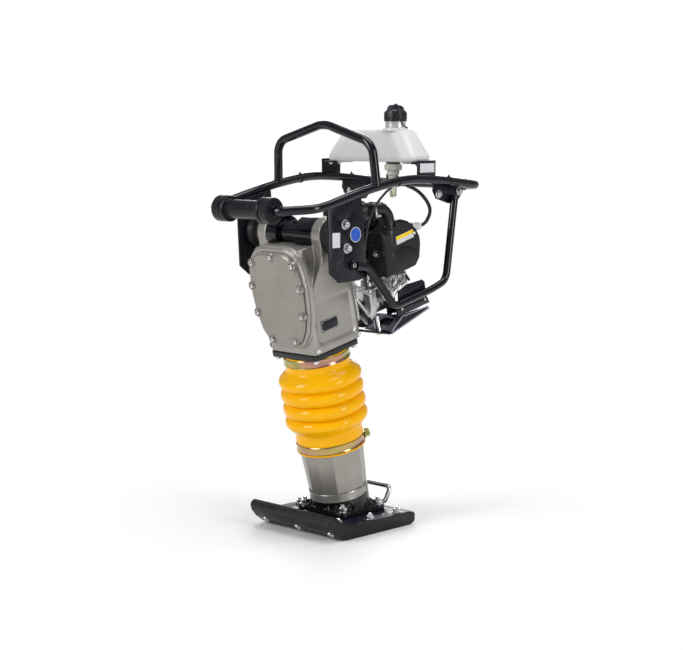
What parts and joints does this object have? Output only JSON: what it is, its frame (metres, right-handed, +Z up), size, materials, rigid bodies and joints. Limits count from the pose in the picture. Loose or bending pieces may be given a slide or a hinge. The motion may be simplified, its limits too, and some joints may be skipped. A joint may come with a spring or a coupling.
{
  "type": "trench rammer",
  "caption": "Trench rammer with a tamping shoe, spring leg in a bellows, gear case, small engine, tubular handle, guide roller and fuel tank.",
  "frame": {"origin": "middle of the shoe's sole on the floor", "axes": "+Z up, the toe and the machine's front face -Y, +X is the side with the air box"},
  "size_m": [0.3594, 0.686, 1.042],
  "materials": {
    "sole_black": "moulded, fine texture",
    "deck_steel": "satin black paint",
    "zinc_steel": "bright zinc plate",
    "black_cast": "semi-gloss black over casting",
    "grey_cast": "satin grey over casting",
    "cover_grey": "satin warm grey",
    "bellows_yellow": "glossy moulded polyurethane",
    "yellow_zinc": "yellow zinc passivate",
    "spring_steel": "oiled steel",
    "mount_rubber": "moulded rubber",
    "black_tube": "gloss black powder coat",
    "black_plate": "satin black powder coat",
    "bare_alloy": "die cast, as cast",
    "black_plastic": "moulded, fine grain",
    "hose_rubber": "smooth rubber",
    "silencer_steel": "heat-proof paint",
    "skid_steel": "bright zinc plate",
    "roller_rubber": "hard moulded rubber",
    "tank_plastic": "translucent polyethylene",
    "cap_black": "moulded",
    "petcock_white": "nylon"
  },
  "bodies": {
    "leg": {"shoe_body": "sole_black", "shoe_deck_plate": "deck_steel", "shoe_bolts": "zinc_steel", "foot_casting": "black_cast", "tie_down_bail": "zinc_steel", "spring_cylinder": "grey_cast", "spring_tube": "spring_steel", "leg_springs": "spring_steel", "lower_clamp_band": "yellow_zinc", "bellows": "bellows_yellow"},
    "crankcase": {"gear_case": "grey_cast", "front_cover": "cover_grey", "case_bolts": "zinc_steel", "guide_cylinder": "black_cast", "upper_clamp_band": "yellow_zinc", "piston_rod": "spring_steel", "shaft_bearings": "spring_steel", "shock_mounts": "mount_rubber", "cross_tube": "black_tube", "clutch_housing": "bare_alloy", "engine_block": "bare_alloy", "engine_cylinder": "bare_alloy", "cylinder_head": "bare_alloy", "spark_plug": "black_plastic", "fan_shroud": "black_plastic", "recoil_starter": "black_plastic", "silencer": "silencer_steel", "air_box_cover": "black_plastic", "carburettor": "bare_alloy", "air_elbow": "black_plastic", "ribbed_air_hose": "hose_rubber", "air_filter_canister": "black_plastic", "skid_frame": "black_tube", "skid_plate": "skid_steel"},
    "crank": {"crank_gear": "spring_steel"},
    "con_rod": {"connecting_rod": "spring_steel"},
    "pinion": {"pinion_and_clutch_drum": "spring_steel"},
    "clutch_rotor": {"clutch_shoes": "spring_steel"},
    "starter_handle": {"starter_grip": "black_plastic"},
    "choke": {"choke_lever": "skid_steel"},
    "handle": {"handle_tube_left": "black_tube", "handle_tube_right": "black_tube", "handle_tube_rear": "black_tube", "roller_axle": "zinc_steel", "carry_loop": "black_tube", "side_plates": "black_plate", "guard_tube_left": "black_tube", "guard_tube_right": "black_tube", "guard_brackets": "black_plate", "frame_bolts": "zinc_steel", "fuel_tank": "tank_plastic", "tank_brackets": "black_plate", "petcock": "petcock_white", "fuel_hose": "hose_rubber", "throttle_cable": "hose_rubber", "throttle_clamp": "black_tube"},
    "front_roller": {"roller": "roller_rubber"},
    "filler_cap": {"tank_cap": "cap_black"},
    "fuel_tap": {"fuel_tap_lever": "black_plastic"},
    "throttle": {"throttle_lever": "black_plastic"}
  },
  "joints": [
    {"name": "leg_stroke", "type": "slide", "parent": "leg", "child": "crankcase", "axis": [0, -0.2164, 0.9763], "range_m": [-0.03, 0.03], "stiffness_N_per_m": 40000, "springref_m": 0.0112, "deforming": ["bellows", "leg_springs"]},
    {"name": "crank_spin", "type": "hinge", "parent": "crankcase", "child": "crank", "pos_m": [0, -0.10328, 0.64631], "axis": [0, 0.9763, 0.2164], "continuous": true},
    {"name": "con_rod_swing", "type": "hinge", "parent": "crank", "child": "con_rod", "pos_m": [0, -0.09679, 0.61702], "axis": [0, 0.9763, 0.2164], "continuous": true},
    {"name": "pinion_spin", "type": "hinge", "parent": "crankcase", "child": "pinion", "pos_m": [0, -0.08705, 0.57309], "axis": [0, 0.9763, 0.2164], "continuous": true},
    {"name": "clutch_spin", "type": "hinge", "parent": "crankcase", "child": "clutch_rotor", "pos_m": [0, -0.08705, 0.57309], "axis": [0, 0.9763, 0.2164], "continuous": true},
    {"name": "starter_pull", "type": "slide", "parent": "crankcase", "child": "starter_handle", "axis": [0, -0.2164, 0.9763], "range_m": [0, 0.08]},
    {"name": "choke_turn", "type": "hinge", "parent": "crankcase", "child": "choke", "pos_m": [0.107, 0.07046, 0.61108], "axis": [1, 0, 0], "range_deg": [0, 60]},
    {"name": "handle_rock", "type": "hinge", "parent": "crankcase", "child": "handle", "pos_m": [0, -0.10866, 0.73525], "axis": [1, 0, 0], "range_deg": [-3, 3], "stiffness_Nm_per_rad": 4000, "deforming": ["fuel_hose", "throttle_cable"]},
    {"name": "roller_spin", "type": "hinge", "parent": "handle", "child": "front_roller", "pos_m": [0, -0.282, 0.7986], "axis": [1, 0, 0], "continuous": true},
    {"name": "cap_lift", "type": "slide", "parent": "handle", "child": "filler_cap", "axis": [0, 0, 1], "range_m": [0, 0.05]},
    {"name": "fuel_tap_turn", "type": "hinge", "parent": "handle", "child": "fuel_tap", "pos_m": [0.037, 0.158, 0.868], "axis": [1, 0, 0], "range_deg": [0, 90]},
    {"name": "throttle_swing", "type": "hinge", "parent": "handle", "child": "throttle", "pos_m": [0.1, 0.337, 0.84071], "axis": [0, 0, 1], "range_deg": [0, 55]}
  ],
  "couplings": [
    {"joint": "pinion_spin", "follows": "crank_spin", "ratio": -4},
    {"joint": "con_rod_swing", "follows": "crank_spin", "ratio": -1}
  ]
}
